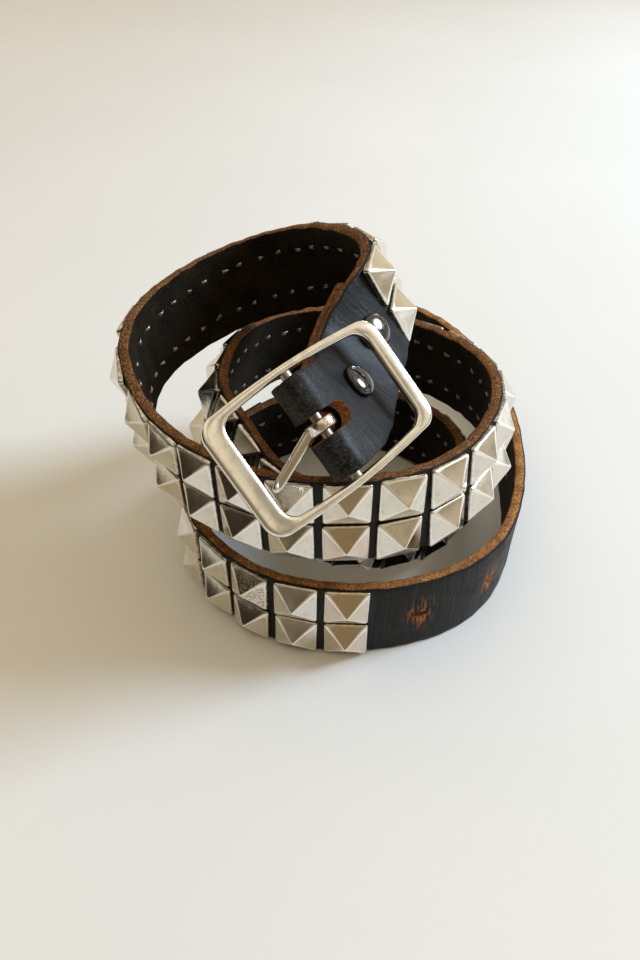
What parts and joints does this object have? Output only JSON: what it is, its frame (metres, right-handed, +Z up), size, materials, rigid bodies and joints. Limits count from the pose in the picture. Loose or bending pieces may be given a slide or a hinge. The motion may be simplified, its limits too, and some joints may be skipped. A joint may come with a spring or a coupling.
{
  "type": "studded belt",
  "caption": "Coiled leather belt with rows of metal pyramid studs, a swinging centre-bar buckle with a prong, and snap-closed fold.",
  "frame": {"origin": "middle of the bounding box on the plane the belt lies on", "axes": "+Z up from the surface; +Y away from the viewer towards the free tip; +X to the right of the buckle side"},
  "size_m": [0.1562, 0.2104, 0.1152],
  "materials": {
    "strap": "worn black grain with raw brown edges",
    "frame": "polished, lightly scratched",
    "prong": "polished",
    "snaps": "gloss black"
  },
  "bodies": {
    "strap": {"studded_strap": "strap", "snap_near": "snaps", "snap_far": "snaps"},
    "frame": {"buckle_frame": "frame"},
    "prong": {"buckle_prong": "prong"}
  },
  "joints": [
    {"name": "frame_hinge", "type": "hinge", "parent": "strap", "child": "frame", "pos_m": [-0.00463, -0.07559, 0.08826], "axis": [0.579, -0.495, -0.6479], "range_deg": [0, 25]},
    {"name": "prong_hinge", "type": "hinge", "parent": "strap", "child": "prong", "pos_m": [-0.00463, -0.07559, 0.08826], "axis": [-0.579, 0.495, 0.6479], "range_deg": [0, 100]}
  ]
}
